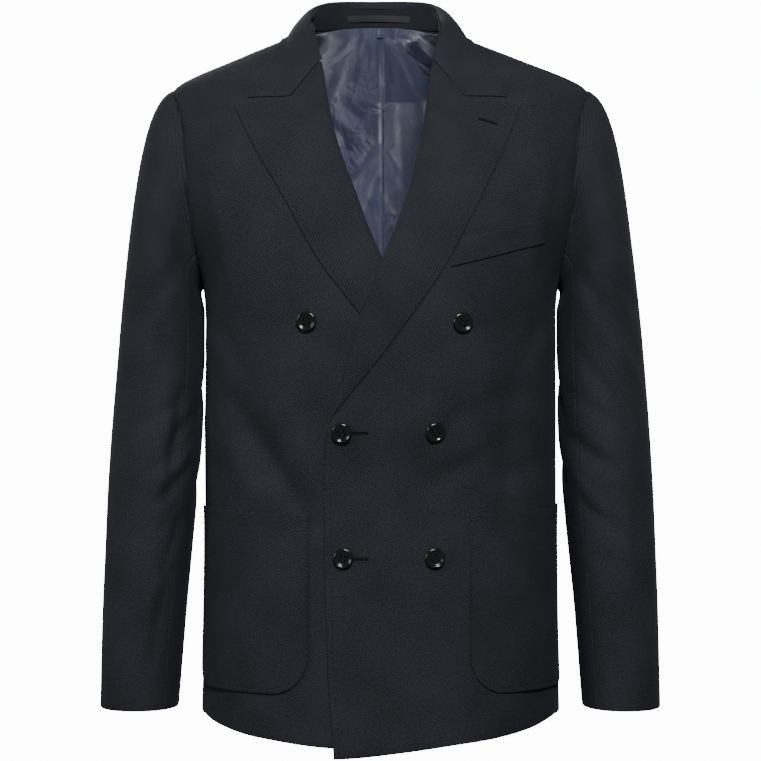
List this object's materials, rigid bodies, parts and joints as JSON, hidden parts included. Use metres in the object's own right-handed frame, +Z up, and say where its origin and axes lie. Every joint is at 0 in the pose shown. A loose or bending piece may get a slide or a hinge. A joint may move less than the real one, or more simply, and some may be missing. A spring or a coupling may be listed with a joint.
{
  "type": "double breasted blazer",
  "caption": "Dark navy wool double breasted blazer with peak lapels, patch pockets and a breast welt, in its hollow worn form",
  "frame": {"origin": "the middle of the neck opening, level with the neck ends of the shoulder seams, where the wearer's shoulders carry the blazer", "axes": "+X is the wearer's left, +Y is the wearer's back (the front faces -Y), +Z is up"},
  "size_m": [0.5864, 0.2693, 0.7937],
  "materials": {
    "suiting": "fine dotted wool weave, matt with a faint sheen",
    "lining": "satin lining",
    "loop": "plain grey satin tape",
    "button": "polished",
    "thread": "twisted sewing thread"
  },
  "bodies": {
    "root": {"front_left": "suiting", "side_left": "suiting", "back_left": "suiting", "back_lining_left": "lining", "top_sleeve_left": "suiting", "under_sleeve_left": "suiting", "lapel_left": "suiting", "hip_pocket_left": "suiting", "front_right": "suiting", "side_right": "suiting", "back_right": "suiting", "back_lining_right": "lining", "top_sleeve_right": "suiting", "under_sleeve_right": "suiting", "lapel_right": "suiting", "hip_pocket_right": "suiting", "breast_welt": "suiting", "collar": "suiting", "collar_stand": "suiting", "hanger_loop": "loop", "lapel_buttonhole": "thread", "buttonhole_middle": "thread", "buttonhole_bottom": "thread", "button_top_left": "button", "button_top_right": "button", "button_middle_left": "button", "button_middle_right": "button", "button_bottom_left": "button", "button_bottom_right": "button", "button_top_left_thread": "thread", "button_top_right_thread": "thread", "button_middle_left_thread": "thread", "button_middle_right_thread": "thread", "button_bottom_left_thread": "thread", "button_bottom_right_thread": "thread"}
  },
  "joints": []
}
